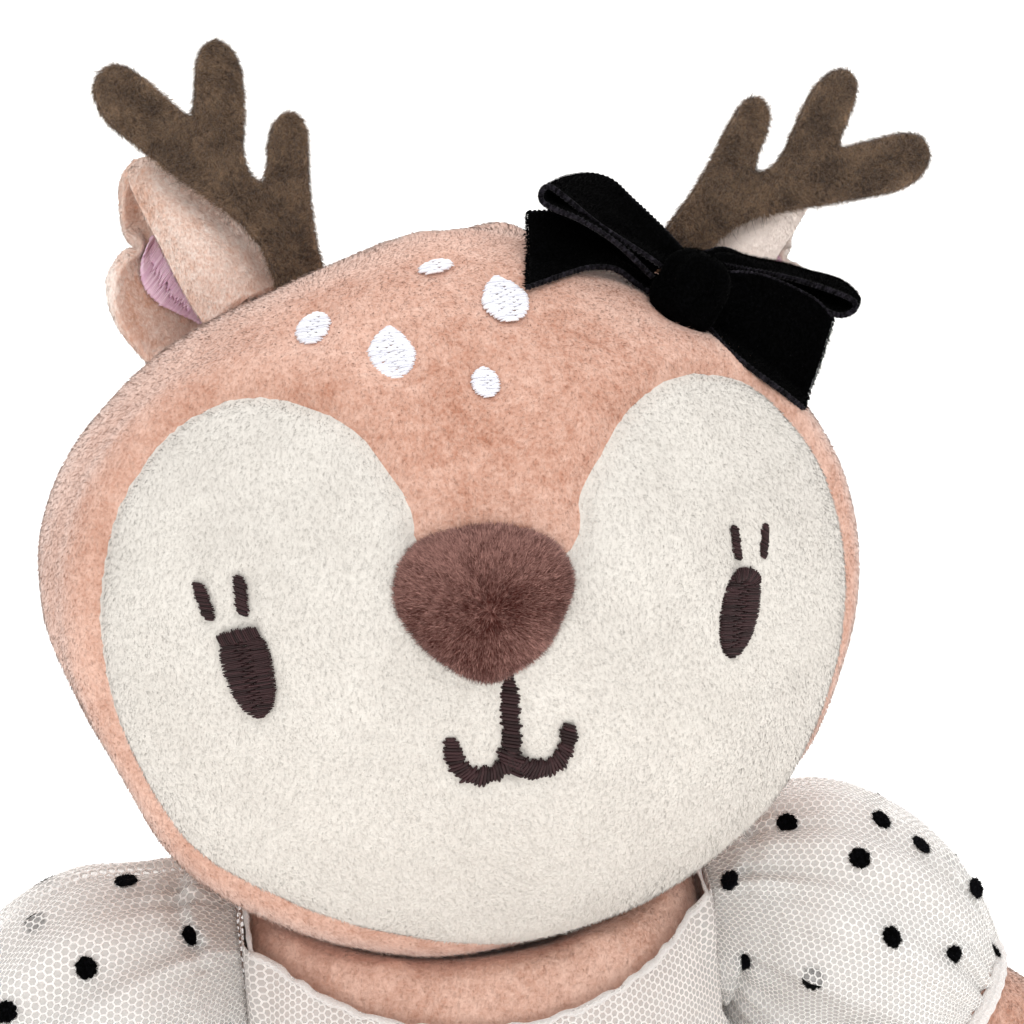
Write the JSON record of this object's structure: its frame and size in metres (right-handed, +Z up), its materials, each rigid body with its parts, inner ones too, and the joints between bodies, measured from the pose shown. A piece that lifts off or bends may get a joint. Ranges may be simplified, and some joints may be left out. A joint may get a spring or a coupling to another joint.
{
  "type": "plush deer",
  "caption": "Seated stuffed deer with felt antlers, a velvet hair bow and a gathered net dress; head turns, arms swing and legs fold down.",
  "frame": {"origin": "centre of the bounding box on the surface the deer sits on", "axes": "+Z up; -Y the way the face looks; +X towards the viewer's right"},
  "size_m": [0.2898, 0.2388, 0.2966],
  "materials": {
    "peach_plush": "matte",
    "cream_plush": "matte",
    "nose_plush": "matte",
    "dark_thread": "satin",
    "white_thread": "satin",
    "pink_thread": "satin",
    "brown_felt": "matte",
    "black_velvet": "matte",
    "ivory_net": "matte",
    "ivory_lining": "satin",
    "fibre_fill": "matte",
    "pellet_pouch": "matte"
  },
  "bodies": {
    "torso": {"body_cover": "peach_plush", "body_stuffing": "fibre_fill", "seat_pouch": "pellet_pouch", "dress_bodice": "ivory_net", "neckline_binding": "ivory_net", "dress_waistband": "ivory_net", "skirt_net": "ivory_net", "skirt_lining": "ivory_lining"},
    "head": {"head_cover": "peach_plush", "face_panel": "cream_plush", "head_stuffing": "fibre_fill", "nose": "nose_plush", "mouth": "dark_thread", "eye_left": "dark_thread", "lash_left_inner": "dark_thread", "lash_left_outer": "dark_thread", "ear_left": "peach_plush", "ear_patch_left": "pink_thread", "bow_loop_left": "black_velvet", "bow_tail_left": "black_velvet", "eye_right": "dark_thread", "lash_right_inner": "dark_thread", "lash_right_outer": "dark_thread", "ear_right": "peach_plush", "ear_patch_right": "pink_thread", "bow_loop_right": "black_velvet", "bow_tail_right": "black_velvet", "spot_crown": "white_thread", "spot_high": "white_thread", "spot_low": "white_thread", "spot_middle": "white_thread", "spot_side": "white_thread", "antler_left": "brown_felt", "antler_right": "brown_felt", "bow_knot": "black_velvet"},
    "arm_left": {"arm_cover_left": "peach_plush", "arm_stuffing_left": "fibre_fill", "sleeve_left": "ivory_net", "sleeve_cuff_left": "ivory_net"},
    "arm_right": {"arm_cover_right": "peach_plush", "arm_stuffing_right": "fibre_fill", "sleeve_right": "ivory_net", "sleeve_cuff_right": "ivory_net"},
    "leg_left": {"leg_cover_left": "peach_plush", "leg_stuffing_left": "fibre_fill"},
    "leg_right": {"leg_cover_right": "peach_plush", "leg_stuffing_right": "fibre_fill"}
  },
  "joints": [
    {"name": "head_turn", "type": "hinge", "parent": "torso", "child": "head", "pos_m": [0, 0.0246, 0.112], "axis": [0, 0, 1], "range_deg": [-20, 20]},
    {"name": "arm_left_swing", "type": "hinge", "parent": "torso", "child": "arm_left", "pos_m": [-0.0513, 0.0366, 0.101], "axis": [-1, 0, 0], "range_deg": [-30, 80]},
    {"name": "arm_right_swing", "type": "hinge", "parent": "torso", "child": "arm_right", "pos_m": [0.0513, 0.0366, 0.101], "axis": [-1, 0, 0], "range_deg": [-30, 80]},
    {"name": "leg_left_fold", "type": "hinge", "parent": "torso", "child": "leg_left", "pos_m": [-0.027, 0.0046, 0.018], "axis": [1, 0, 0], "range_deg": [0, 80]},
    {"name": "leg_right_fold", "type": "hinge", "parent": "torso", "child": "leg_right", "pos_m": [0.027, 0.0046, 0.018], "axis": [1, 0, 0], "range_deg": [0, 80]}
  ]
}
